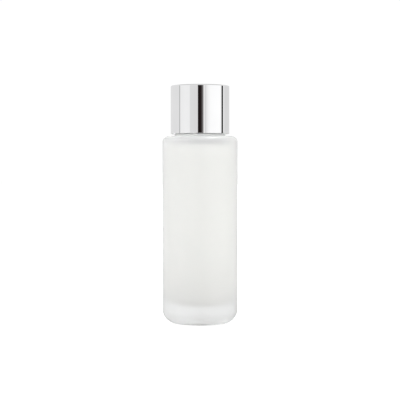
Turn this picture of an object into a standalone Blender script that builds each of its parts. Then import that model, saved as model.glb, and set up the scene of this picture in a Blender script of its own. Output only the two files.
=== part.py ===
"""Cosmetic bottle: a thick-walled etched glass cylinder with a bright metal screw cap.

Run with blender --background --python part.py, or from Blender's text editor.
Metres, +Z up. The origin is the middle of the base, on the plane the bottle stands on.
"""

import math

import bmesh
import bpy

MM = 0.001
GAP = 0.3 * MM
WELD = 0.01 * MM

# Facets round a large and a small turned piece, and along their arcs
ROUND_STEPS = 48
SMALL_STEPS = 36
HEEL_STEPS = 8
FLOOR_STEPS = 6
SHOULDER_STEPS = 5
DOME_STEPS = 5
CORNER_STEPS = 4
EDGE_STEPS = 3
RIM_STEPS = 2
SHARP_ANGLE = math.radians(35)

# Glass body, outside
BODY_RADIUS = 17.0 * MM
SHOULDER_Z = 84.6 * MM
SHOULDER_ROUND = 2.5 * MM
HEEL_ROUND = 6.2 * MM
FOOT_RADIUS = 9.2 * MM
PUSH_UP = 1.3 * MM

# Glass body, inside
CAVITY_RADIUS = 12.0 * MM
FLOOR_Z = 7.6 * MM
FLOOR_FLAT = 3.0 * MM
FLOOR_RISE = 6.0 * MM
CEILING_Z = 81.5 * MM
CEILING_ROUND = 3.0 * MM
BORE_RADIUS = 6.75 * MM
BORE_ROUND = 1.0 * MM

# Neck finish: a 20 mm neck with a single-start right-hand thread, 8 turns to the inch
NECK_TOP_Z = 95.6 * MM
NECK_ROOT = 8.8 * MM
NECK_CREST = 9.9 * MM
NECK_EDGE = 0.5 * MM
LIP_EDGE = 0.4 * MM
COLLAR_RADIUS = 11.4 * MM
COLLAR_TOP_Z = 85.5 * MM
COLLAR_SLOPE = 0.3 * MM
COLLAR_FILLET = 0.3 * MM
PITCH = 25.4 / 8 * MM
NECK_THREAD_TURNS = 1.5
NECK_THREAD_Z = 89.3 * MM
NECK_THREAD_BASE = 1.0 * MM
NECK_THREAD_TIP = 0.45 * MM

# Foundation in the bottle, about 30 ml
FILL_Z = 80.9 * MM

# Snap-in pouring plug, measured from the top of the neck
PLUG_FLANGE_RADIUS = 8.4 * MM
PLUG_FLANGE = 0.8 * MM
PLUG_WALL_OUT = 6.25 * MM
PLUG_WALL_IN = 5.4 * MM
PLUG_RIB = 0.2 * MM
PLUG_RIB_HEIGHT = 0.8 * MM
PLUG_RIB_COUNT = 3
PLUG_RIB_PITCH = 1.9 * MM
PLUG_FIRST_RIB = 1.0 * MM
PLUG_DEPTH = 7.2 * MM
PLUG_WEB_TOP = 2.7 * MM
PLUG_WEB = 1.1 * MM
PLUG_EDGE = 0.2 * MM
NOZZLE_BORE = 1.6 * MM
NOZZLE_OUT = 2.4 * MM
NOZZLE_TOP = 0.3 * MM

# Sealing disc on the plug
WAD_RADIUS = 9.5 * MM
WAD_THICKNESS = 1.1 * MM
WAD_MARK = 0.1 * MM
WAD_MARK_MARGIN = 0.4 * MM
WAD_EDGE = 0.15 * MM

# Cap, heights measured from its lower rim
CAP_BASE_Z = 85.7 * MM
CAP_HEIGHT = 21.8 * MM
SHELL_RADIUS = 13.3 * MM
SHELL_WALL = 0.45 * MM
SHELL_EDGE = 0.5 * MM
SHELL_RIM = 0.1 * MM
SHELL_INNER_EDGE = 0.3 * MM

SKIRT_RADIUS = 12.05 * MM
SKIRT_BOTTOM = 0.3 * MM
THREAD_ROOT = 10.25 * MM
THREAD_CREST = 9.25 * MM
WAD_SEAT_RADIUS = 9.8 * MM
WAD_SEAT_Z = 10.9 * MM
WEB_BOTTOM = 12.7 * MM
WEB_TOP = 14.1 * MM
CAP_THREAD_TURNS = 1.75
CAP_THREAD_BASE = 0.65 * MM
CAP_THREAD_TIP = 0.35 * MM
THREAD_DROP = 1.35 * MM
SKIRT_CHAMFER = 0.4 * MM

RIB_COUNT = 24
RIB_RADIUS = 12.55 * MM
RIB_ROOT = 11.75 * MM
RIB_WIDTH = 0.8 * MM
RIB_BOTTOM = 1.4 * MM
RIB_TOP = 12.7 * MM

WEIGHT_RADIUS = 12.45 * MM
WEIGHT_BORE = 4.0 * MM
WEIGHT_HEIGHT = 5.7 * MM
WEIGHT_CHAMFER = 0.4 * MM
PAD_RADIUS = 12.2 * MM
PAD_EDGE = 0.15 * MM

THREAD_STEPS_PER_TURN = 36
THREAD_RUN_OUT_STEPS = 5
THREAD_ROOT_BITE = 0.4 * MM

COLOUR_GLASS = (0.86, 0.88, 0.87)
COLOUR_FILL = (0.84, 0.80, 0.71)
COLOUR_PLUG = (0.82, 0.83, 0.82)
COLOUR_WAD = (0.80, 0.80, 0.78)
COLOUR_INNER = (0.78, 0.78, 0.77)
COLOUR_WEIGHT = (0.42, 0.42, 0.43)
COLOUR_PAD = (0.60, 0.61, 0.62)
COLOUR_SHELL = (0.86, 0.86, 0.87)


def clear_scene():
    for obj in list(bpy.data.objects):
        bpy.data.objects.remove(obj, do_unlink=True)


def new_collection(name):
    collection = bpy.data.collections.new(name)
    bpy.context.scene.collection.children.link(collection)
    return collection


def material(name, colour, roughness, metallic=0.0, transmission=0.0):
    mat = bpy.data.materials.new(name)
    mat.use_nodes = True
    shader = mat.node_tree.nodes["Principled BSDF"]
    shader.inputs["Base Color"].default_value = (*colour, 1.0)
    shader.inputs["Roughness"].default_value = roughness
    shader.inputs["Metallic"].default_value = metallic
    shader.inputs["Transmission Weight"].default_value = transmission
    mat.diffuse_color = (*colour, 1.0)
    return mat


def arc(centre_r, centre_z, radius_r, radius_z, start, end, segments):
    """Points on an elliptical arc in the (r, z) half plane, both ends included, in degrees."""
    points = []
    for i in range(segments + 1):
        angle = math.radians(start + (end - start) * i / segments)
        r = centre_r + radius_r * math.cos(angle)
        z = centre_z + radius_z * math.sin(angle)
        points.append((r, z))
    return points


def place(obj, collection, mat, parent=None, height=0.0):
    """Link an object whose origin lies on the bottle's axis, at a height over its parent."""
    collection.objects.link(obj)
    obj.data.materials.append(mat)
    obj.location = (0.0, 0.0, height)
    obj.parent = parent
    return obj


def turned(name, profile, steps, closed=False):
    """A solid of revolution about Z: the profile runs down its outer side, top to bottom."""
    mesh = bpy.data.meshes.new(name)
    verts = [(r, 0.0, z) for r, z in profile]
    edges = [(i, i + 1) for i in range(len(verts) - 1)]
    if closed:
        edges.append((len(verts) - 1, 0))
    mesh.from_pydata(verts, edges, [])
    obj = bpy.data.objects.new(name, mesh)
    screw = obj.modifiers.new("Turn", "SCREW")
    screw.axis = "Z"
    screw.angle = math.tau
    screw.steps = steps
    screw.render_steps = steps
    screw.use_merge_vertices = True
    screw.merge_threshold = WELD
    screw.use_smooth_shade = True
    return obj


def thread_ridge(name, root, crest, base_half, tip_half, z_start, turns):
    """A right-hand helical ridge from root to crest radius that runs out at both ends."""
    steps = round(turns * THREAD_STEPS_PER_TURN)
    outward = 1.0 if crest > root else -1.0
    bite = root - outward * THREAD_ROOT_BITE
    sunk = root - outward * THREAD_ROOT_BITE / 2
    bm = bmesh.new()
    rings = []
    for i in range(steps + 1):
        angle = math.tau * i / THREAD_STEPS_PER_TURN
        z = z_start + PITCH * i / THREAD_STEPS_PER_TURN
        rise = min(1.0, i / THREAD_RUN_OUT_STEPS, (steps - i) / THREAD_RUN_OUT_STEPS)
        rise = math.sin(rise * math.pi / 2)
        tip = sunk + (crest - sunk) * rise
        section = (
            (bite, -base_half),
            (tip, -tip_half),
            (tip, tip_half),
            (bite, base_half),
        )
        ring = []
        for r, dz in section:
            ring.append(bm.verts.new((r * math.cos(angle), r * math.sin(angle), z + dz)))
        rings.append(ring)
    for near, far in zip(rings, rings[1:]):
        for j in range(4):
            k = (j + 1) % 4
            bm.faces.new((near[j], near[k], far[k], far[j]))
    bm.faces.new(rings[0])
    bm.faces.new(rings[-1])
    bmesh.ops.recalc_face_normals(bm, faces=bm.faces)
    mesh = bpy.data.meshes.new(name)
    bm.to_mesh(mesh)
    bm.free()
    return bpy.data.objects.new(name, mesh)


def rib_ring(name):
    """Upright ribs around the inner cap's skirt, as one mesh of separate bars."""
    bm = bmesh.new()
    depth = RIB_RADIUS - RIB_ROOT
    height = RIB_TOP - RIB_BOTTOM
    for i in range(RIB_COUNT):
        angle = math.tau * i / RIB_COUNT
        made = bmesh.ops.create_cube(bm, size=1.0)
        verts = made["verts"]
        bmesh.ops.scale(bm, vec=(depth, RIB_WIDTH, height), verts=verts)
        for vert in verts:
            x = vert.co.x + RIB_ROOT + depth / 2
            y = vert.co.y
            vert.co.x = x * math.cos(angle) - y * math.sin(angle)
            vert.co.y = x * math.sin(angle) + y * math.cos(angle)
            vert.co.z += RIB_BOTTOM + height / 2
    mesh = bpy.data.meshes.new(name)
    bm.to_mesh(mesh)
    bm.free()
    return bpy.data.objects.new(name, mesh)


def add_guide(guide, collection, parent):
    collection.objects.link(guide)
    guide.parent = parent
    guide.hide_render = True
    guide.display_type = "WIRE"
    return guide


def join_to(obj, guide):
    union = obj.modifiers.new("Join " + guide.name, "BOOLEAN")
    union.operation = "UNION"
    union.solver = "EXACT"
    union.object = guide


def smooth(obj):
    obj.data.shade_smooth()
    obj.data.set_sharp_from_angle(angle=SHARP_ANGLE)


def glass_profile():
    points = [(0.0, FLOOR_Z)]
    rise_r = CAVITY_RADIUS - FLOOR_FLAT
    points += arc(FLOOR_FLAT, FLOOR_Z + FLOOR_RISE, rise_r, FLOOR_RISE, -90, 0, FLOOR_STEPS)
    corner_r = CAVITY_RADIUS - CEILING_ROUND
    corner_z = CEILING_Z - CEILING_ROUND
    points += arc(corner_r, corner_z, CEILING_ROUND, CEILING_ROUND, 0, 90, CORNER_STEPS)
    bore_r = BORE_RADIUS + BORE_ROUND
    points += arc(bore_r, CEILING_Z + BORE_ROUND, BORE_ROUND, BORE_ROUND, 270, 180, EDGE_STEPS)
    lip_r = BORE_RADIUS + LIP_EDGE
    points += arc(lip_r, NECK_TOP_Z - LIP_EDGE, LIP_EDGE, LIP_EDGE, 180, 90, EDGE_STEPS)
    edge_r = NECK_ROOT - NECK_EDGE
    points += arc(edge_r, NECK_TOP_Z - NECK_EDGE, NECK_EDGE, NECK_EDGE, 90, 0, EDGE_STEPS)
    points.append((NECK_ROOT, COLLAR_TOP_Z + COLLAR_SLOPE))
    points.append((COLLAR_RADIUS, COLLAR_TOP_Z))
    fillet_r = COLLAR_RADIUS + COLLAR_FILLET
    fillet_z = SHOULDER_Z + COLLAR_FILLET
    points += arc(fillet_r, fillet_z, COLLAR_FILLET, COLLAR_FILLET, 180, 270, EDGE_STEPS)
    round_r = BODY_RADIUS - SHOULDER_ROUND
    round_z = SHOULDER_Z - SHOULDER_ROUND
    points += arc(round_r, round_z, SHOULDER_ROUND, SHOULDER_ROUND, 90, 0, SHOULDER_STEPS)
    points += arc(BODY_RADIUS - HEEL_ROUND, HEEL_ROUND, HEEL_ROUND, HEEL_ROUND, 0, -90, HEEL_STEPS)
    for i in range(DOME_STEPS + 1):
        share = i / DOME_STEPS
        r = FOOT_RADIUS * (1.0 - share)
        points.append((r, PUSH_UP * (0.5 - 0.5 * math.cos(math.pi * share))))
    return points


def fill_profile():
    corner_r = CAVITY_RADIUS - CEILING_ROUND
    corner_z = CEILING_Z - CEILING_ROUND
    corner = CEILING_ROUND - GAP
    top_angle = math.degrees(math.asin((FILL_Z - corner_z) / corner))
    points = [(0.0, FILL_Z)]
    points += arc(corner_r, corner_z, corner, corner, top_angle, 0, CORNER_STEPS)
    rise_r = CAVITY_RADIUS - FLOOR_FLAT - GAP
    rise_z = FLOOR_Z + FLOOR_RISE
    points += arc(FLOOR_FLAT, rise_z, rise_r, FLOOR_RISE - GAP, 0, -90, FLOOR_STEPS)
    points.append((0.0, FLOOR_Z + GAP))
    return points


def plug_profile():
    """Closed section of the plug, heights from the top of the neck."""
    edge = PLUG_EDGE
    top = GAP + PLUG_FLANGE
    points = [(PLUG_WALL_IN + 2 * edge, top)]
    points.append((PLUG_FLANGE_RADIUS - edge, top))
    points.append((PLUG_FLANGE_RADIUS, top - edge))
    points.append((PLUG_FLANGE_RADIUS, GAP + edge))
    points.append((PLUG_FLANGE_RADIUS - edge, GAP))
    points.append((PLUG_WALL_OUT, GAP))
    for i in range(PLUG_RIB_COUNT):
        z = -PLUG_FIRST_RIB - i * PLUG_RIB_PITCH
        points.append((PLUG_WALL_OUT, z))
        points.append((PLUG_WALL_OUT + PLUG_RIB, z - PLUG_RIB))
        points.append((PLUG_WALL_OUT + PLUG_RIB, z - PLUG_RIB_HEIGHT / 2))
        points.append((PLUG_WALL_OUT, z - PLUG_RIB_HEIGHT))
    points.append((PLUG_WALL_OUT, -PLUG_DEPTH + 2 * edge))
    points.append((PLUG_WALL_OUT - edge, -PLUG_DEPTH))
    points.append((PLUG_WALL_IN, -PLUG_DEPTH))
    points.append((PLUG_WALL_IN, -PLUG_WEB_TOP - PLUG_WEB))
    points.append((NOZZLE_BORE + edge, -PLUG_WEB_TOP - PLUG_WEB))
    points.append((NOZZLE_BORE, -PLUG_WEB_TOP - PLUG_WEB + edge))
    points.append((NOZZLE_BORE, NOZZLE_TOP))
    points.append((NOZZLE_OUT - edge, NOZZLE_TOP))
    points.append((NOZZLE_OUT, NOZZLE_TOP - edge))
    points.append((NOZZLE_OUT, -PLUG_WEB_TOP))
    points.append((PLUG_WALL_IN, -PLUG_WEB_TOP))
    points.append((PLUG_WALL_IN, top - 2 * edge))
    return points


def wad_profile():
    """Foam disc with the ring that the plug's flange presses into its lower face."""
    edge = WAD_EDGE
    mark_in = PLUG_WALL_IN + WAD_MARK_MARGIN
    mark_out = PLUG_FLANGE_RADIUS
    points = [(0.0, WAD_THICKNESS)]
    points.append((WAD_RADIUS - edge, WAD_THICKNESS))
    points.append((WAD_RADIUS, WAD_THICKNESS - edge))
    points.append((WAD_RADIUS, edge))
    points.append((WAD_RADIUS - edge, 0.0))
    points.append((mark_out + WAD_MARK, 0.0))
    points.append((mark_out, WAD_MARK))
    points.append((mark_in, WAD_MARK))
    points.append((mark_in - WAD_MARK, 0.0))
    points.append((0.0, 0.0))
    return points


def inner_cap_profile():
    points = [(0.0, WEB_TOP)]
    points.append((SKIRT_RADIUS - SKIRT_CHAMFER, WEB_TOP))
    points.append((SKIRT_RADIUS, WEB_TOP - SKIRT_CHAMFER))
    points.append((SKIRT_RADIUS, SKIRT_BOTTOM + SKIRT_CHAMFER))
    points.append((SKIRT_RADIUS - SKIRT_CHAMFER, SKIRT_BOTTOM))
    points.append((THREAD_ROOT + SKIRT_CHAMFER, SKIRT_BOTTOM))
    points.append((THREAD_ROOT, SKIRT_BOTTOM + SKIRT_CHAMFER))
    points.append((THREAD_ROOT, WAD_SEAT_Z - SKIRT_CHAMFER))
    points.append((WAD_SEAT_RADIUS, WAD_SEAT_Z))
    points.append((WAD_SEAT_RADIUS, WEB_BOTTOM))
    points.append((0.0, WEB_BOTTOM))
    return points


def shell_profile():
    inner = SHELL_RADIUS - SHELL_WALL
    ceiling = CAP_HEIGHT - SHELL_WALL
    points = [(0.0, CAP_HEIGHT)]
    edge_r = SHELL_RADIUS - SHELL_EDGE
    points += arc(edge_r, CAP_HEIGHT - SHELL_EDGE, SHELL_EDGE, SHELL_EDGE, 90, 0, CORNER_STEPS)
    points += arc(SHELL_RADIUS - SHELL_RIM, SHELL_RIM, SHELL_RIM, SHELL_RIM, 0, -90, RIM_STEPS)
    points.append((inner + SHELL_RIM, 0.0))
    points.append((inner, SHELL_RIM))
    points.append((inner, ceiling - SHELL_INNER_EDGE))
    points.append((inner - SHELL_INNER_EDGE, ceiling))
    points.append((0.0, ceiling))
    return points


def weight_profile():
    """Closed section of the steel ring, heights from its lower face."""
    cut = WEIGHT_CHAMFER
    points = [(WEIGHT_BORE + cut, WEIGHT_HEIGHT)]
    points.append((WEIGHT_RADIUS - cut, WEIGHT_HEIGHT))
    points.append((WEIGHT_RADIUS, WEIGHT_HEIGHT - cut))
    points.append((WEIGHT_RADIUS, cut))
    points.append((WEIGHT_RADIUS - cut, 0.0))
    points.append((WEIGHT_BORE + cut, 0.0))
    points.append((WEIGHT_BORE, cut))
    points.append((WEIGHT_BORE, WEIGHT_HEIGHT - cut))
    return points


def pad_profile(thickness):
    points = [(0.0, thickness)]
    points.append((PAD_RADIUS - PAD_EDGE, thickness))
    points.append((PAD_RADIUS, thickness - PAD_EDGE))
    points.append((PAD_RADIUS, PAD_EDGE))
    points.append((PAD_RADIUS - PAD_EDGE, 0.0))
    points.append((0.0, 0.0))
    return points


def build():
    clear_scene()
    parts = new_collection("foundation_bottle")
    guides = new_collection("guides")

    bottle_axis = bpy.data.objects.new("bottle_axis", None)
    cap_axis = bpy.data.objects.new("cap_axis", None)
    cap_axis.location = (0.0, 0.0, CAP_BASE_Z)
    parts.objects.link(bottle_axis)
    parts.objects.link(cap_axis)

    # Glass, with its thread
    glass = turned("glass_bottle", glass_profile(), ROUND_STEPS)
    place(glass, parts, material("etched_glass", COLOUR_GLASS, 0.45, transmission=0.5), bottle_axis)
    neck_thread = thread_ridge(
        "neck_thread",
        NECK_ROOT,
        NECK_CREST,
        NECK_THREAD_BASE,
        NECK_THREAD_TIP,
        NECK_THREAD_Z,
        NECK_THREAD_TURNS,
    )
    add_guide(neck_thread, guides, bottle_axis)
    join_to(glass, neck_thread)

    fill = turned("foundation_fill", fill_profile(), ROUND_STEPS)
    place(fill, parts, material("foundation", COLOUR_FILL, 0.35), bottle_axis)

    plug = turned("pour_plug", plug_profile(), SMALL_STEPS, closed=True)
    place(plug, parts, material("plug_plastic", COLOUR_PLUG, 0.4), bottle_axis, NECK_TOP_Z)

    # Cap, from the inside out
    wad = turned("sealing_wad", wad_profile(), SMALL_STEPS)
    wad_z = WEB_BOTTOM - GAP - WAD_THICKNESS
    place(wad, parts, material("wad_foam", COLOUR_WAD, 0.7), cap_axis, wad_z)

    inner = turned("inner_cap", inner_cap_profile(), ROUND_STEPS)
    place(inner, parts, material("inner_plastic", COLOUR_INNER, 0.4), cap_axis)
    # The cap's ridge follows just under the neck's ridge, which it pulls up against
    cap_thread_z = NECK_THREAD_Z - THREAD_DROP - CAP_BASE_Z
    cap_thread = thread_ridge(
        "cap_thread",
        THREAD_ROOT,
        THREAD_CREST,
        CAP_THREAD_BASE,
        CAP_THREAD_TIP,
        cap_thread_z,
        CAP_THREAD_TURNS,
    )
    add_guide(cap_thread, guides, cap_axis)
    join_to(inner, cap_thread)
    ribs = add_guide(rib_ring("skirt_ribs"), guides, cap_axis)
    join_to(inner, ribs)

    weight = turned("cap_weight", weight_profile(), ROUND_STEPS, closed=True)
    weight_z = WEB_TOP + GAP
    place(weight, parts, material("steel", COLOUR_WEIGHT, 0.4, metallic=1.0), cap_axis, weight_z)

    pad_z = weight_z + WEIGHT_HEIGHT + GAP
    pad_thickness = CAP_HEIGHT - SHELL_WALL - GAP - pad_z
    pad = turned("weight_pad", pad_profile(pad_thickness), SMALL_STEPS)
    place(pad, parts, material("pad_foam", COLOUR_PAD, 0.8), cap_axis, pad_z)

    shell = turned("cap_shell", shell_profile(), ROUND_STEPS)
    place(shell, parts, material("bright_aluminium", COLOUR_SHELL, 0.08, metallic=1.0), cap_axis)

    for obj in parts.objects:
        if obj.type == "MESH":
            smooth(obj)


build()
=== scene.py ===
"""Looks for the foundation bottle: etched glass, ivory foundation, bright metal screw cap.

Metres, +Z up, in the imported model's own frame. The camera stands on the -Y side.
"""

import math

import bpy
import numpy as np
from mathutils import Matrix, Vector


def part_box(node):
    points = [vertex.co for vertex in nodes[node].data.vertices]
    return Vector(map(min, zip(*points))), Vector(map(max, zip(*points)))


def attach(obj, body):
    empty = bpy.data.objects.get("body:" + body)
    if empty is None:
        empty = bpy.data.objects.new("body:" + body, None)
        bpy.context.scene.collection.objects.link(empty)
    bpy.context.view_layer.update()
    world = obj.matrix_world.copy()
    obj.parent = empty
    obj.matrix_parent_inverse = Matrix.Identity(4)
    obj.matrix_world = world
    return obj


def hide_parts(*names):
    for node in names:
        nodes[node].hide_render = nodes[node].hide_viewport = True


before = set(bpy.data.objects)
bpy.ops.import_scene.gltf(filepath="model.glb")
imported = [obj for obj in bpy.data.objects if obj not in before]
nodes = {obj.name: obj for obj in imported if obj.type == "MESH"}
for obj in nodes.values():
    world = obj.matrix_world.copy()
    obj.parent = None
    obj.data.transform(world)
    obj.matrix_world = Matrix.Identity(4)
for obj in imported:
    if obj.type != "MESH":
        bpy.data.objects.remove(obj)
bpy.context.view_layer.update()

MM = 0.001
FULL_TURN = 2.0 * math.pi
SAME = 0.0001 * MM  # radii and heights this close are the same
EASE_STEPS = 3
EASE_MOST = 0.45  # the largest share of a profile's run that one rounded corner takes
SHARP_ANGLE = 40.0


# ---------------------------------------------------------------- sizes
def top_of(node):
    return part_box(node)[1][2]


def bottom_of(node):
    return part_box(node)[0][2]


def radius_of(node):
    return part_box(node)[1][0]


# Glass, outside
BODY_R = radius_of("glass_bottle")
NECK_TOP = top_of("glass_bottle")
SHOULDER_Z = 84.6 * MM
SHOULDER_ROUND = 2.5 * MM
HEEL_ROUND = 6.2 * MM
FOOT_R = 9.2 * MM
PUSH_UP = 1.3 * MM
PUSH_UP_ROWS = 20

# The cavity in the glass, and the foundation in it
CAVITY_R = 12.0 * MM
FLOOR_Z = 7.6 * MM
FLOOR_FLAT = 3.0 * MM
FLOOR_RISE = 6.0 * MM
CEILING_Z = 81.5 * MM
CEILING_ROUND = 3.0 * MM
BORE_R = 6.75 * MM
BORE_ROUND = 1.0 * MM
LIP_ROUND = 0.4 * MM
FILL_Z = top_of("foundation_fill")
WET = 0.04 * MM  # how far the foundation reaches into the glass, so that no air shows between them

# Neck and collar
NECK_ROOT = 8.8 * MM
NECK_CREST = 9.9 * MM
NECK_ROUND = 0.5 * MM
COLLAR_R = 11.4 * MM
COLLAR_TOP = 85.5 * MM
COLLAR_SLOPE = 0.3 * MM
COLLAR_FILLET = 0.3 * MM
COLLAR_EDGE = 0.12 * MM
NECK_FOOT = COLLAR_TOP + COLLAR_SLOPE

# The two threads: a ridge's half widths, and how far the cap's starts below the neck's
PITCH = 25.4 / 8 * MM
RIDGE_TIP = 0.35 * MM
NECK_RIDGE_BASE = 1.05 * MM
CAP_RIDGE_BASE = 0.75 * MM
NECK_THREAD_Z = 89.3 * MM
NECK_THREAD_TURNS = 1.5
NECK_ROWS = 64
THREAD_DROP = 1.35 * MM
CAP_THREAD_TURNS = 1.75
CAP_ROWS = 72
RUN_OUT = 5 / 36  # turns over which a ridge rises at its ends

# Metal shell
CAP_Z = bottom_of("cap_shell")
CAP_TOP = top_of("cap_shell")
SHELL_R = radius_of("cap_shell")
SHELL_WALL = 0.45 * MM
SHELL_EDGE = 0.5 * MM
SHELL_RIM = 0.1 * MM
SHELL_INNER_EDGE = 0.3 * MM

# Pouring plug
PLUG_R = radius_of("pour_plug")
PLUG_TOP = top_of("pour_plug")
PLUG_BOTTOM = bottom_of("pour_plug")
PLUG_UNDER = NECK_TOP + 0.3 * MM
PLUG_WALL_OUT = 6.25 * MM
PLUG_WALL_IN = 5.4 * MM
PLUG_RIB = 0.2 * MM
PLUG_RIB_HEIGHT = 0.8 * MM
PLUG_RIB_COUNT = 3
PLUG_RIB_PITCH = 1.9 * MM
PLUG_FIRST_RIB = 1.0 * MM
PLUG_WEB_TOP = NECK_TOP - 2.7 * MM
PLUG_WEB_BOTTOM = NECK_TOP - 3.8 * MM
NOZZLE_BORE = 1.6 * MM
NOZZLE_OUT = 2.4 * MM
NOZZLE_TOP = NECK_TOP + 0.3 * MM
PLUG_EDGE = 0.2 * MM

# Sealing disc, with the mark that the plug's rim presses into it
WAD_R = radius_of("sealing_wad")
WAD_TOP = top_of("sealing_wad")
WAD_BOTTOM = bottom_of("sealing_wad")
WAD_MARK = 0.1 * MM
WAD_MARK_IN = 5.8 * MM
WAD_EDGE = 0.15 * MM

# Inner cap
INNER_BOTTOM = bottom_of("inner_cap")
INNER_TOP = top_of("inner_cap")
SKIRT_R = 12.05 * MM
SKIRT_CHAMFER = 0.4 * MM
THREAD_ROOT = 10.25 * MM
THREAD_CREST = 9.25 * MM
WAD_SEAT_R = 9.8 * MM
WAD_SEAT_Z = CAP_Z + 10.9 * MM
WEB_BOTTOM = CAP_Z + 12.7 * MM
RIB_COUNT = 24
RIB_R = radius_of("inner_cap")
RIB_HALF = 0.4 * MM
RIB_BOTTOM = CAP_Z + 1.4 * MM
RIB_TOP = CAP_Z + 12.7 * MM
RIB_LEAD = 0.25 * MM
BORE_LOW = INNER_BOTTOM + SKIRT_CHAMFER
BORE_HIGH = WAD_SEAT_Z - SKIRT_CHAMFER

# Points round each turned piece
GLASS_STEPS = 180
SHELL_STEPS = 256
INNER_STEPS = 12 * RIB_COUNT
OTHER_STEPS = 144


# ---------------------------------------------------------------- mesh tools
def arc(centre_r, centre_z, radius, start, end, segments, rise=None):
    """Points on an arc in the (r, z) half plane, both ends included, in degrees.

    rise is the arc's height where it is an ellipse's.
    """
    rise = rise or radius
    points = []
    for i in range(segments + 1):
        a = math.radians(start + (end - start) * i / segments)
        points.append((centre_r + radius * math.cos(a), centre_z + rise * math.sin(a)))
    return points


def run(start, end, segments):
    """Points along a straight run, without its first point."""
    points = []
    for i in range(1, segments + 1):
        t = i / segments
        points.append((start[0] + (end[0] - start[0]) * t, start[1] + (end[1] - start[1]) * t))
    return points


def braced(points, longest=1.5 * MM, brace=0.08 * MM):
    """The same profile with a point close to each end of its long straight runs."""
    out = [points[0]]
    for p, q in zip(points, points[1:]):
        length = math.hypot(q[0] - p[0], q[1] - p[1])
        if length > longest:
            for t in (brace / length, 0.5, 1.0 - brace / length):
                out.append((p[0] + (q[0] - p[0]) * t, p[1] + (q[1] - p[1]) * t))
        out.append(q)
    return out


def eased(points, size, closed=False):
    """The same profile with each corner rounded over a short length."""
    out = []
    count = len(points)
    for i, p in enumerate(points):
        if not closed and i in (0, count - 1):
            out.append(p)
            continue
        a = Vector(points[i - 1])
        b = Vector(points[(i + 1) % count])
        corner = Vector(p)
        cut_a = min(size, EASE_MOST * (a - corner).length)
        cut_b = min(size, EASE_MOST * (b - corner).length)
        first = corner + (a - corner).normalized() * cut_a
        last = corner + (b - corner).normalized() * cut_b
        for k in range(EASE_STEPS + 1):
            t = k / EASE_STEPS
            out.append(tuple(first * (1.0 - t) ** 2 + corner * 2.0 * t * (1.0 - t) + last * t * t))
    return out


def lathe(name, profile, steps, closed=False, shape=None, slots=None):
    """A turned mesh with this (r, z) profile.

    shape(r, z, angle) may change the radius. slots(point, next point) is a ring's material index.
    """
    prof = np.array(profile)
    count = len(prof)
    angles = np.arange(steps) * FULL_TURN / steps
    r = np.repeat(prof[:, 0:1], steps, axis=1)
    z = np.repeat(prof[:, 1:2], steps, axis=1)
    a = np.repeat(angles[None, :], count, axis=0)
    if shape is not None:
        r = shape(r, z, a)
    index = {}
    verts = []
    for i in range(count):
        on_axis = prof[i, 0] < SAME
        for k in range(1 if on_axis else steps):
            index[i, k] = len(verts)
            verts.append((r[i, k] * math.cos(a[i, k]), r[i, k] * math.sin(a[i, k]), z[i, k]))
        if on_axis:
            for k in range(1, steps):
                index[i, k] = index[i, 0]
    faces = []
    ring_of = []
    for i in range(count if closed else count - 1):
        j = (i + 1) % count
        for k in range(steps):
            m = (k + 1) % steps
            corners = []
            for key in ((i, k), (j, k), (j, m), (i, m)):
                if index[key] not in corners:
                    corners.append(index[key])
            faces.append(corners)
            ring_of.append(i)
    mesh = bpy.data.meshes.new(name)
    mesh.from_pydata(verts, [], faces)
    if slots is not None:
        chosen = [slots(prof[i], prof[(i + 1) % count]) for i in ring_of]
        mesh.polygons.foreach_set("material_index", chosen)
    mesh.shade_smooth()
    mesh.set_sharp_from_angle(angle=math.radians(SHARP_ANGLE))
    mesh.update()
    obj = bpy.data.objects.new(name, mesh)
    bpy.context.scene.collection.objects.link(obj)
    return obj


def smoothstep(x):
    x = np.clip(x, 0.0, 1.0)
    return x * x * (3.0 - 2.0 * x)


def thread_height(z, a, z_start, turns, base):
    """0 off the thread, 1 on its crest, for a right-hand helix that starts at angle 0.

    base is the ridge's half width at its root.
    """
    height = np.zeros_like(z)
    for k in range(int(turns) + 1):
        t = a / FULL_TURN + k
        away = np.abs(z - (z_start + PITCH * t))
        side = 1.0 - smoothstep((away - RIDGE_TIP) / (base - RIDGE_TIP))
        from_end = np.minimum(t, turns - t) / RUN_OUT
        ends = np.sin(np.clip(from_end, 0.0, 1.0) * math.pi / 2)
        height = np.maximum(height, side * ends)
    return height


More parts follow.
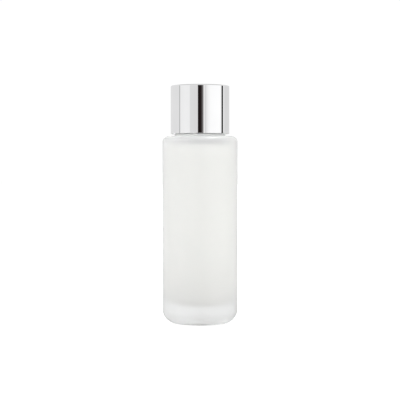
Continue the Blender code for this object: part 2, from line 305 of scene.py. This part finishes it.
# ---------------------------------------------------------------- node tools
class Nodes:
    """A material's node tree with short calls."""

    def __init__(self, name):
        self.mat = bpy.data.materials.new(name)
        self.mat.use_nodes = True
        self.tree = self.mat.node_tree
        self.tree.nodes.clear()
        self.out = self.new("ShaderNodeOutputMaterial")
        self.coord = self.new("ShaderNodeTexCoord").outputs["Object"]

    def new(self, kind, **props):
        node = self.tree.nodes.new(kind)
        for key, value in props.items():
            setattr(node, key, value)
        return node

    def link(self, a, b):
        self.tree.links.new(a, b)

    def principled(self, **values):
        shader = self.new("ShaderNodeBsdfPrincipled")
        for key, value in values.items():
            socket = shader.inputs[key.replace("_", " ")]
            socket.default_value = value
        self.link(shader.outputs[0], self.out.inputs["Surface"])
        return shader

    def stretch(self, scale):
        node = self.new("ShaderNodeMapping")
        node.inputs["Scale"].default_value = scale
        self.link(self.coord, node.inputs["Vector"])
        return node.outputs["Vector"]

    def noise(self, scale, detail, vector=None):
        node = self.new("ShaderNodeTexNoise")
        node.inputs["Scale"].default_value = scale
        node.inputs["Detail"].default_value = detail
        self.link(vector if vector is not None else self.coord, node.inputs["Vector"])
        return node.outputs["Fac"]

    def cells(self, scale):
        node = self.new("ShaderNodeTexVoronoi")
        node.inputs["Scale"].default_value = scale
        self.link(self.coord, node.inputs["Vector"])
        return node.outputs["Distance"]

    def spread(self, value, low, high, from_low=0.3, from_high=0.7):
        """A number between low and high that follows value."""
        node = self.new("ShaderNodeMapRange")
        node.inputs["From Min"].default_value = from_low
        node.inputs["From Max"].default_value = from_high
        node.inputs["To Min"].default_value = low
        node.inputs["To Max"].default_value = high
        self.link(value, node.inputs["Value"])
        return node.outputs["Result"]

    def tint(self, value, low, high, from_low=0.3, from_high=0.7):
        """A colour between low and high that follows value."""
        node = self.new("ShaderNodeValToRGB")
        ramp = node.color_ramp
        ramp.elements[0].position = from_low
        ramp.elements[0].color = (*low, 1.0)
        ramp.elements[1].position = from_high
        ramp.elements[1].color = (*high, 1.0)
        self.link(value, node.inputs["Fac"])
        return node.outputs["Color"]

    def bump(self, shader, height, distance, strength):
        node = self.new("ShaderNodeBump")
        node.inputs["Strength"].default_value = strength
        node.inputs["Distance"].default_value = distance
        self.link(height, node.inputs["Height"])
        self.link(node.outputs["Normal"], shader.inputs["Normal"])


# ---------------------------------------------------------------- materials
def etched_glass():
    n = Nodes("etched_glass")
    s = n.principled(Transmission_Weight=0.56, IOR=1.5, Coat_Weight=0.5, Coat_Roughness=0.22)
    grain = n.noise(9000.0, 2.0)
    cloud = n.noise(160.0, 3.0)
    n.link(n.tint(cloud, (0.965, 0.975, 0.975), (0.98, 0.985, 0.985)), s.inputs["Base Color"])
    n.link(n.spread(cloud, 0.40, 0.48), s.inputs["Roughness"])
    n.bump(s, grain, 0.01 * MM, 0.5)
    return n.mat


def polished_glass():
    n = Nodes("polished_glass")
    s = n.principled(Transmission_Weight=1.0, IOR=1.5)
    cloud = n.noise(90.0, 2.0)
    n.link(n.tint(cloud, (0.97, 0.98, 0.975), (0.98, 0.985, 0.985)), s.inputs["Base Color"])
    n.link(n.spread(cloud, 0.05, 0.10), s.inputs["Roughness"])
    return n.mat


# Painted shade: the foundation is painted darker low down, where less light reaches it, darkest below
# the first height, and plain above the second
PAINTED_SHADE_FULL_Z = 8.0 * MM
PAINTED_SHADE_END_Z = 30.0 * MM


def foundation():
    n = Nodes("foundation_cream")
    s = n.principled(IOR=1.4)
    cloud = n.noise(60.0, 4.0)
    height = n.new("ShaderNodeSeparateXYZ")
    n.link(n.coord, height.inputs[0])
    # Painted shade: the foundation's colour is multiplied darker towards its bottom
    painted_shade = n.new("ShaderNodeMix", data_type="RGBA", blend_type="MULTIPLY")
    n.link(n.spread(height.outputs["Z"], 1.0, 0.0, PAINTED_SHADE_FULL_Z, PAINTED_SHADE_END_Z), painted_shade.inputs["Factor"])
    n.link(n.tint(cloud, (0.88, 0.87, 0.81), (0.90, 0.89, 0.83)), painted_shade.inputs["A"])
    painted_shade.inputs["B"].default_value = (0.84, 0.83, 0.82, 1.0)
    n.link(painted_shade.outputs["Result"], s.inputs["Base Color"])
    n.link(n.spread(cloud, 0.35, 0.5), s.inputs["Roughness"])
    n.bump(s, cloud, 0.03 * MM, 0.3)
    return n.mat


def bright_metal():
    n = Nodes("bright_aluminium")
    s = n.principled(Metallic=1.0)
    drawn = n.noise(1400.0, 2.0, vector=n.stretch((1.0, 1.0, 0.02)))
    cloud = n.noise(120.0, 2.0)
    n.link(n.tint(cloud, (0.90, 0.90, 0.905), (0.92, 0.92, 0.925)), s.inputs["Base Color"])
    n.link(n.spread(drawn, 0.010, 0.026), s.inputs["Roughness"])
    return n.mat


def moulded_plastic(name, low, high):
    n = Nodes(name)
    s = n.principled(IOR=1.5, Subsurface_Weight=0.15, Subsurface_Scale=1.0 * MM)
    cloud = n.noise(180.0, 3.0)
    n.link(n.tint(cloud, low, high), s.inputs["Base Color"])
    n.link(n.spread(cloud, 0.33, 0.44), s.inputs["Roughness"])
    n.bump(s, n.noise(2500.0, 2.0), 0.01 * MM, 0.4)
    return n.mat


def foam(name, low, high):
    n = Nodes(name)
    s = n.principled(IOR=1.45)
    cells = n.cells(2600.0)
    n.link(n.tint(cells, low, high, 0.1, 0.6), s.inputs["Base Color"])
    n.link(n.spread(cells, 0.8, 0.6, 0.0, 0.6), s.inputs["Roughness"])
    n.bump(s, cells, 0.06 * MM, 0.7)
    return n.mat


def turned_steel():
    """Fine grooves round the axis: noise that only changes with the radius and the height."""
    n = Nodes("turned_steel")
    s = n.principled(Metallic=1.0)
    radius = n.new("ShaderNodeVectorMath", operation="LENGTH")
    n.link(n.stretch((1.0, 1.0, 0.0)), radius.inputs[0])
    height = n.new("ShaderNodeSeparateXYZ")
    n.link(n.coord, height.inputs[0])
    ring = n.new("ShaderNodeCombineXYZ")
    n.link(radius.outputs["Value"], ring.inputs["X"])
    n.link(height.outputs["Z"], ring.inputs["Z"])
    grooves = n.noise(9000.0, 2.0, vector=ring.outputs[0])
    n.link(n.tint(grooves, (0.50, 0.50, 0.51), (0.62, 0.62, 0.63)), s.inputs["Base Color"])
    n.link(n.spread(grooves, 0.28, 0.42), s.inputs["Roughness"])
    n.bump(s, grooves, 0.02 * MM, 0.5)
    return n.mat


def set_materials(obj, *mats):
    obj.data.materials.clear()
    for mat in mats:
        obj.data.materials.append(mat)


# ---------------------------------------------------------------- the bottle
def cavity_outline():
    """The inside of the glass, from the middle of its floor up to its mouth."""
    points = [(0.0, FLOOR_Z)]
    points += arc(FLOOR_FLAT, FLOOR_Z + FLOOR_RISE, CAVITY_R - FLOOR_FLAT, -90, 0, 24, rise=FLOOR_RISE)
    points += arc(CAVITY_R - CEILING_ROUND, CEILING_Z - CEILING_ROUND, CEILING_ROUND, 0, 90, 14)
    points += arc(BORE_R + BORE_ROUND, CEILING_Z + BORE_ROUND, BORE_ROUND, 270, 180, 8)
    points += arc(BORE_R + LIP_ROUND, NECK_TOP - LIP_ROUND, LIP_ROUND, 180, 90, 6)
    return points


def neck_outline():
    """Down the outside of the neck and over the collar, to the shoulder."""
    points = arc(NECK_ROOT - NECK_ROUND, NECK_TOP - NECK_ROUND, NECK_ROUND, 90, 0, 6)
    points += run((NECK_ROOT, NECK_TOP - NECK_ROUND), (NECK_ROOT, NECK_FOOT), NECK_ROWS)
    points += run((NECK_ROOT, NECK_FOOT), (COLLAR_R - COLLAR_EDGE, COLLAR_TOP), 4)
    points += arc(COLLAR_R - COLLAR_EDGE, COLLAR_TOP - COLLAR_EDGE, COLLAR_EDGE, 80, 0, 4)
    points += arc(COLLAR_R + COLLAR_FILLET, SHOULDER_Z + COLLAR_FILLET, COLLAR_FILLET, 180, 270, 8)
    return points


def body_outline():
    """The shoulder, the side, the heel and the pushed-up base."""
    points = arc(BODY_R - SHOULDER_ROUND, SHOULDER_Z - SHOULDER_ROUND, SHOULDER_ROUND, 90, 0, 20)
    points += arc(BODY_R - HEEL_ROUND, HEEL_ROUND, HEEL_ROUND, 0, -90, 32)
    for i in range(PUSH_UP_ROWS + 1):
        t = i / PUSH_UP_ROWS
        points.append((FOOT_R * (1.0 - t), PUSH_UP * (0.5 - 0.5 * math.cos(math.pi * t))))
    return points


def neck_thread(r, z, a):
    on_neck = (np.abs(r - NECK_ROOT) < SAME) & (z > NECK_FOOT - SAME)
    height = thread_height(z, a, NECK_THREAD_Z, NECK_THREAD_TURNS, NECK_RIDGE_BASE)
    return np.where(on_neck, r + (NECK_CREST - NECK_ROOT) * height, r)


def glass_finish(p, q):
    """0, etched, on the outside, and 1, polished, on the inside."""
    inside = max(p[0], q[0]) <= CAVITY_R + SAME and FLOOR_Z - SAME <= min(p[1], q[1])
    on_neck = p[1] > CEILING_Z and max(p[0], q[0]) > BORE_R + LIP_ROUND + SAME
    return 1 if inside and not on_neck else 0


def make_glass():
    points = cavity_outline() + neck_outline() + body_outline()
    obj = lathe("glass_body", braced(points), GLASS_STEPS, shape=neck_thread, slots=glass_finish)
    set_materials(obj, etched_glass(), polished_glass())
    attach(obj, "bottle")
    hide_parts("glass_bottle")
    return obj


def make_fill():
    """The foundation, which fills the cavity up to FILL_Z."""
    round_r = CEILING_ROUND + WET
    centre_z = CEILING_Z - CEILING_ROUND
    surface_angle = math.degrees(math.asin((FILL_Z - centre_z) / round_r))
    floor_r = CAVITY_R - FLOOR_FLAT + WET
    points = [(0.0, FILL_Z)]
    points += arc(CAVITY_R - CEILING_ROUND, centre_z, round_r, surface_angle, 0, 10)
    points += arc(FLOOR_FLAT, FLOOR_Z + FLOOR_RISE, floor_r, 0, -90, 24, rise=FLOOR_RISE + WET)
    points.append((0.0, FLOOR_Z - WET))
    obj = lathe("foundation", braced(points), OTHER_STEPS)
    set_materials(obj, foundation())
    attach(obj, "bottle")
    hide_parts("foundation_fill")


def make_plug():
    """A rim on the neck, a ribbed wall inside it, and a web with a nozzle."""
    wall = PLUG_WALL_OUT
    points = [(PLUG_WALL_IN + 2 * PLUG_EDGE, PLUG_TOP), (PLUG_R, PLUG_TOP), (PLUG_R, PLUG_UNDER)]
    points.append((wall, PLUG_UNDER))
    for i in range(PLUG_RIB_COUNT):
        z = NECK_TOP - PLUG_FIRST_RIB - i * PLUG_RIB_PITCH
        points.append((wall, z))
        points.append((wall + PLUG_RIB, z - PLUG_RIB))
        points.append((wall + PLUG_RIB, z - PLUG_RIB_HEIGHT / 2))
        points.append((wall, z - PLUG_RIB_HEIGHT))
    points += [(wall, PLUG_BOTTOM + 2 * PLUG_EDGE), (wall - PLUG_EDGE, PLUG_BOTTOM)]
    points += [(PLUG_WALL_IN, PLUG_BOTTOM), (PLUG_WALL_IN, PLUG_WEB_BOTTOM)]
    points += [(NOZZLE_BORE, PLUG_WEB_BOTTOM), (NOZZLE_BORE, NOZZLE_TOP)]
    points += [(NOZZLE_OUT, NOZZLE_TOP), (NOZZLE_OUT, PLUG_WEB_TOP)]
    points += [(PLUG_WALL_IN, PLUG_WEB_TOP), (PLUG_WALL_IN, PLUG_TOP - 2 * PLUG_EDGE)]
    obj = lathe("pouring_plug", eased(points, PLUG_EDGE, closed=True), OTHER_STEPS, closed=True)
    set_materials(obj, moulded_plastic("plug_plastic", (0.84, 0.85, 0.84), (0.88, 0.89, 0.88)))
    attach(obj, "bottle")
    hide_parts("pour_plug")


# ---------------------------------------------------------------- the cap
def make_wad():
    """The foam disc that seals on the plug."""
    mark_z = WAD_BOTTOM + WAD_MARK
    points = [(0.0, WAD_TOP), (WAD_R, WAD_TOP), (WAD_R, WAD_BOTTOM)]
    points += [(PLUG_R + WAD_MARK, WAD_BOTTOM), (PLUG_R, mark_z)]
    points += [(WAD_MARK_IN, mark_z), (WAD_MARK_IN - WAD_MARK, WAD_BOTTOM), (0.0, WAD_BOTTOM)]
    obj = lathe("foam_disc", braced(eased(points, WAD_EDGE)), OTHER_STEPS)
    set_materials(obj, foam("wad_foam", (0.74, 0.74, 0.72), (0.86, 0.86, 0.84)))
    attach(obj, "liner")
    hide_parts("sealing_wad")


def ribs_and_thread(r, z, a):
    """Ribs outside, which hold the shell, and the thread in the bore."""
    off_rib = np.abs((a * RIB_COUNT / FULL_TURN + 0.5) % 1.0 - 0.5) * FULL_TURN / RIB_COUNT * RIB_R
    on_rib = (off_rib < RIB_HALF) & (np.abs(r - SKIRT_R) < SAME)
    on_rib &= (z < RIB_TOP - RIB_LEAD / 2) & (z > RIB_BOTTOM + RIB_LEAD / 2)
    in_bore = (np.abs(r - THREAD_ROOT) < SAME) & (z > BORE_LOW - SAME)
    ridge = thread_height(z, a, NECK_THREAD_Z - THREAD_DROP, CAP_THREAD_TURNS, CAP_RIDGE_BASE)
    r = np.where(on_rib, RIB_R, r)
    return np.where(in_bore, r - (THREAD_ROOT - THREAD_CREST) * ridge, r)


def make_inner_cap():
    """The threaded plastic cap that the shell is pressed on."""
    cut = SKIRT_CHAMFER
    points = [(0.0, INNER_TOP), (SKIRT_R - cut, INNER_TOP), (SKIRT_R, INNER_TOP - cut)]
    points += [(SKIRT_R, RIB_TOP), (SKIRT_R, RIB_TOP - RIB_LEAD)]
    points += run((SKIRT_R, RIB_TOP - RIB_LEAD), (SKIRT_R, RIB_BOTTOM + RIB_LEAD), 6)
    points += [(SKIRT_R, RIB_BOTTOM), (SKIRT_R, INNER_BOTTOM + cut)]
    points += [(SKIRT_R - cut, INNER_BOTTOM), (THREAD_ROOT + cut, INNER_BOTTOM)]
    points.append((THREAD_ROOT, BORE_LOW))
    points += run((THREAD_ROOT, BORE_LOW), (THREAD_ROOT, BORE_HIGH), CAP_ROWS)
    points += [(WAD_SEAT_R, WAD_SEAT_Z), (WAD_SEAT_R, WEB_BOTTOM), (0.0, WEB_BOTTOM)]
    obj = lathe("threaded_inner_cap", points, INNER_STEPS, shape=ribs_and_thread)
    set_materials(obj, moulded_plastic("inner_plastic", (0.80, 0.80, 0.79), (0.84, 0.84, 0.83)))
    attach(obj, "cap")
    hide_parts("inner_cap")


def make_shell():
    """A thin drawn metal cup, open at the bottom."""
    inner = SHELL_R - SHELL_WALL
    rim = SHELL_RIM
    fold = SHELL_INNER_EDGE
    ceiling = CAP_TOP - SHELL_WALL
    points = [(0.0, CAP_TOP)]
    points += arc(SHELL_R - SHELL_EDGE, CAP_TOP - SHELL_EDGE, SHELL_EDGE, 90, 0, 10)
    points += arc(SHELL_R - rim, CAP_Z + rim, rim, 0, -90, 5)
    points += arc(inner + rim, CAP_Z + rim, rim, 270, 180, 5)
    points += arc(inner - fold, ceiling - fold, fold, 0, 90, 5)
    points.append((0.0, ceiling))
    obj = lathe("metal_shell", braced(points), SHELL_STEPS)
    set_materials(obj, bright_metal())
    # In the photo, light inside the glass brightens the gap under the shell. These renders lack
    # that light, so the shell doesn't darken matt surfaces near it.
    obj.visible_diffuse = False
    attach(obj, "cap")
    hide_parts("cap_shell")


# ---------------------------------------------------------------- the studio
# Light cards stand round the bottle, over it and under it, and no camera sees them. Reflections see
# the mirror cards and not the soft ones. Matt surfaces, and light that comes through glass, see the
# soft cards and not the mirror ones.

# The mirror tent's light at each bearing from the camera's side, positive to the camera's right:
# (degrees, radiance)
TENT = (
    (-180.0, 0.80),
    (-92.0, 0.80),
    (-90.0, 0.86),
    (-88.5, 0.50),
    (-85.0, 0.52),
    (-83.0, 0.90),
    (-60.0, 0.94),
    (-41.0, 0.93),
    (-38.5, 0.78),
    (-8.4, 0.75),
    (-7.9, 0.010),
    (3.0, 0.014),
    (6.0, 0.05),
    (11.0, 0.16),
    (14.0, 0.66),
    (17.5, 0.90),
    (20.0, 0.86),
    (21.5, 0.62),
    (23.5, 0.84),
    (32.0, 0.98),
    (42.0, 1.06),
    (82.0, 1.10),
    (88.0, 1.00),
    (92.0, 1.02),
    (93.0, 0.02),
    (101.5, 0.02),
    (102.5, 0.98),
    (107.0, 0.84),
    (114.0, 0.73),
    (180.0, 0.76),
)
# The same for the soft tent
WRAP = (
    (-180.0, 0.85),
    (-125.0, 0.96),
    (-90.0, 1.08),
    (-62.0, 1.12),
    (-38.0, 1.06),
    (-15.0, 0.98),
    (10.0, 0.92),
    (35.0, 0.88),
    (62.0, 0.90),
    (90.0, 0.96),
    (125.0, 0.92),
    (180.0, 0.85),
)
TENT_R = 1.2
SOFT_TENT_R = 1.15
TENT_TOP = 1.1
TENT_FOOT = -0.02
WIDEST_BAND = 3.0  # degrees; a wider band is cut into more columns
STRIP_TOP = 0.22  # the tables' bands end at this height
STRIP_FADE = 0.05
TOP_GLOW = 0.82  # the mirror tent's light above its bands
SOFT_LIFT = 1.75  # how many times brighter the soft tent is above its bands
# The dark bands in front are a warm black: the most that red, green and blue change, the light
# level at which they change by half of that, and the bearings that it stays within
WARM_SHIFT = (0.5, -0.3, -0.35)
WARM_HALF = 0.012
WARM_WITHIN = 20.0

# The floor that the camera sees, and the two cards just under it
FLOOR_HALF = 6.0
FLOOR_GREY = 0.35
FLOOR_LIGHT = 0.80
FLOOR_LEVEL = -0.0002
SOFT_FLOOR_LEVEL = -0.0004
MIRROR_FLOOR_LEVEL = -0.0006
DISC_STEPS = 48
# The soft floor's light at each distance from the bottle: (metres, radiance)
FLOOR_GLOW = (
    (0.0, 0.62),
    (0.03, 0.62),
    (0.08, 1.35),
    (0.20, 0.90),
    (1.30, 0.65),
)
# The mirror floor's light, as a share of the tent's: (metres, share)
MIRROR_FLOOR = (
    (0.002, 0.90),
    (0.05, 0.92),
    (0.20, 0.95),
    (TENT_R, 0.97),
)
PALE_BAND = 0.15  # the light that a black band has on the mirror floor

CEILING_HALF = 3.0
SOFT_CEILING = 1.5
SOFT_CEILING_LIGHT = 1.60
MIRROR_CEILING = 1.55
MIRROR_CEILING_LIGHT = 0.62
BACKDROP_LIGHT = 1.02

# The softbox that makes the highlight on the shoulder
BOX_AT = (0.37, -0.13, 0.86)
BOX_AIM = (0.0, 0.0, 0.07)
BOX_SIZE = 0.34
BOX_WATTS = 6.0

CAMERA_DISTANCE = 0.545
CAMERA_HEIGHT = 0.0685
CAMERA_LENS = 108.0
CAMERA_SENSOR = 36.0
CAMERA_PITCH = 1.34  # degrees below level
CAMERA_NEAR = 0.01
CAMERA_FAR = 20.0


def emitter(name, strength, attribute=None):
    """A glowing material, coloured by the mesh's attribute if there is one."""
    mat = bpy.data.materials.new(name)
    mat.use_nodes = True
    tree = mat.node_tree
    tree.nodes.clear()
    out = tree.nodes.new("ShaderNodeOutputMaterial")
    glow = tree.nodes.new("ShaderNodeEmission")
    glow.inputs["Strength"].default_value = strength
    if attribute:
        read = tree.nodes.new("ShaderNodeAttribute")
        read.attribute_name = attribute
        tree.links.new(read.outputs["Color"], glow.inputs["Color"])
    tree.links.new(glow.outputs[0], out.inputs["Surface"])
    mat.cycles.emission_sampling = "NONE"
    return mat


def card(obj, mirrored):
    """Make the object a light card, either for reflections or for everything else."""
    obj.visible_camera = False
    obj.visible_shadow = False
    obj.visible_glossy = mirrored
    obj.visible_diffuse = not mirrored
    obj.visible_transmission = not mirrored


def glowing(name, verts, faces, glows):
    """A mesh whose points have these colours of light."""
    mesh = bpy.data.meshes.new(name)
    mesh.from_pydata(verts, [], faces)
    layer = mesh.color_attributes.new("glow", "FLOAT_COLOR", "POINT")
    for item, value in zip(layer.data, glows):
        item.color = (*value, 1.0)
    obj = bpy.data.objects.new(name, mesh)
    bpy.context.scene.collection.objects.link(obj)
    set_materials(obj, emitter(name + "_light", 1.0, "glow"))
    return obj


def banded(name, table, column, mirrored):
    """A light card made of columns, one for each bearing in the table and more in between.

    column(bearing, value) gives the points of one column as (radius, height, colour).
    """
    bands = []
    for (a0, v0), (a1, v1) in zip(table, table[1:]):
        cuts = max(1, math.ceil((a1 - a0) / WIDEST_BAND))
        for i in range(cuts):
            t = i / cuts
            bands.append((a0 + (a1 - a0) * t, v0 + (v1 - v0) * t))
    bands.append(table[-1])
    verts = []
    glows = []
    faces = []
    for i, (bearing, value) in enumerate(bands):
        a = math.radians(bearing)
        points = column(bearing, value)
        rows = len(points)
        for j, (radius, height, colour) in enumerate(points):
            verts.append((radius * math.sin(a), -radius * math.cos(a), height))
            glows.append(colour)
            if i and j:
                k = i * rows + j
                faces.append((k - rows - 1, k - 1, k, k - rows))
    card(glowing(name, verts, faces, glows), mirrored)


def make_tent(name, table, radius, top_glow, mirrored):
    """A round wall with the table's light up to STRIP_TOP, and top_glow(value) above it."""
    levels = ((TENT_FOOT, 0.0), (STRIP_TOP, 0.0), (STRIP_TOP + STRIP_FADE, 1.0), (TENT_TOP, 1.0))

    def column(bearing, value):
        warmth = WARM_HALF / (WARM_HALF + value) if abs(bearing) < WARM_WITHIN else 0.0
        points = []
        for height, share in levels:
            level = value + (top_glow(value) - value) * share
            warm = warmth * (1.0 - share)
            points.append((radius, height, [level * (1.0 + warm * shift) for shift in WARM_SHIFT]))
        return points

    banded(name, table, column, mirrored)


def make_mirror_floor():
    """The mirror tent's bands run on across the floor, paler, and dimmer close to the bottle."""

    def column(bearing, value):
        level = PALE_BAND + (1.0 - PALE_BAND) * value
        return [(radius, MIRROR_FLOOR_LEVEL, (level * share,) * 3) for radius, share in MIRROR_FLOOR]

    banded("mirror_floor", TENT, column, mirrored=True)


def plane(name, height, half, mat):
    """A level square over the origin."""
    mesh = bpy.data.meshes.new(name)
    corners = [(-half, -half, 0), (half, -half, 0), (half, half, 0), (-half, half, 0)]
    mesh.from_pydata(corners, [], [(0, 1, 2, 3)])
    obj = bpy.data.objects.new(name, mesh)
    obj.location = (0.0, 0.0, height)
    bpy.context.scene.collection.objects.link(obj)
    set_materials(obj, mat)
    return obj


def make_floor():
    """The floor that the camera sees. The two floor cards stand in for it in all other light."""
    mat = bpy.data.materials.new("pale_floor")
    mat.use_nodes = True
    shader = mat.node_tree.nodes["Principled BSDF"]
    shader.inputs["Base Color"].default_value = (FLOOR_GREY, FLOOR_GREY, FLOOR_GREY, 1.0)
    shader.inputs["Roughness"].default_value = 0.9
    shader.inputs["Specular IOR Level"].default_value = 0.0
    shader.inputs["Emission Color"].default_value = (1.0, 1.0, 1.0, 1.0)
    shader.inputs["Emission Strength"].default_value = FLOOR_LIGHT
    mat.cycles.emission_sampling = "NONE"
    floor = plane("floor", FLOOR_LEVEL, FLOOR_HALF, mat)
    floor.visible_diffuse = False
    floor.visible_transmission = False
    floor.visible_glossy = False


def make_soft_floor():
    """A disc of rings that is dimmer close to the bottle, which shades the floor there."""
    verts = []
    glows = []
    faces = []
    for i, (radius, value) in enumerate(FLOOR_GLOW):
        outer = i * DISC_STEPS
        inner = outer - DISC_STEPS
        for k in range(DISC_STEPS):
            a = FULL_TURN * k / DISC_STEPS
            verts.append((radius * math.cos(a), radius * math.sin(a), SOFT_FLOOR_LEVEL))
            glows.append((value, value, value))
            m = (k + 1) % DISC_STEPS
            if i == 1:
                faces.append((0, outer + k, outer + m))
            elif i > 1:
                faces.append((inner + k, outer + k, outer + m, inner + m))
    card(glowing("soft_floor", verts, faces, glows), mirrored=False)


def make_ceilings():
    mirror_glow = emitter("mirror_ceiling_light", MIRROR_CEILING_LIGHT)
    card(plane("mirror_ceiling", MIRROR_CEILING, CEILING_HALF, mirror_glow), mirrored=True)
    soft_glow = emitter("soft_ceiling_light", SOFT_CEILING_LIGHT)
    card(plane("soft_ceiling", SOFT_CEILING, CEILING_HALF, soft_glow), mirrored=False)


def make_shoulder_box(glass):
    """A square light that shows only as a highlight, and only on the glass."""
    light = bpy.data.lights.new("shoulder_box", "AREA")
    light.shape = "SQUARE"
    light.size = BOX_SIZE
    light.energy = BOX_WATTS
    lamp = bpy.data.objects.new("shoulder_box", light)
    lamp.location = BOX_AT
    aim = Vector(BOX_AIM) - lamp.location
    lamp.rotation_euler = aim.to_track_quat("-Z", "Y").to_euler()
    lamp.visible_camera = False
    lamp.visible_diffuse = False
    lamp.visible_transmission = False
    bpy.context.scene.collection.objects.link(lamp)
    lit = bpy.data.collections.new("shoulder_box_lights")
    lit.objects.link(glass)
    lamp.light_linking.receiver_collection = lit


def make_backdrop():
    world = bpy.data.worlds.new("white")
    world.use_nodes = True
    background = world.node_tree.nodes["Background"]
    background.inputs["Color"].default_value = (1.0, 1.0, 1.0, 1.0)
    background.inputs["Strength"].default_value = BACKDROP_LIGHT
    bpy.context.scene.world = world
    bpy.context.scene.view_settings.view_transform = "Standard"


def make_camera():
    data = bpy.data.cameras.new("camera")
    data.sensor_width = CAMERA_SENSOR
    data.lens = CAMERA_LENS
    data.clip_start = CAMERA_NEAR
    data.clip_end = CAMERA_FAR
    camera = bpy.data.objects.new("camera", data)
    camera.location = (0.0, -CAMERA_DISTANCE, CAMERA_HEIGHT)
    camera.rotation_euler = (math.radians(90.0 - CAMERA_PITCH), 0.0, 0.0)
    bpy.context.scene.collection.objects.link(camera)
    bpy.context.scene.camera = camera


make_camera()
make_tent("mirror_tent", TENT, TENT_R, lambda value: TOP_GLOW, mirrored=True)
make_tent("soft_tent", WRAP, SOFT_TENT_R, lambda value: SOFT_LIFT * value, mirrored=False)
make_floor()
make_mirror_floor()
make_soft_floor()
glass_body = make_glass()
make_ceilings()
make_shoulder_box(glass_body)
make_backdrop()
make_fill()
make_plug()
make_wad()
make_inner_cap()
make_shell()

set_materials(nodes["weight_pad"], foam("pad_foam", (0.50, 0.51, 0.52), (0.62, 0.63, 0.64)))
set_materials(nodes["cap_weight"], turned_steel())
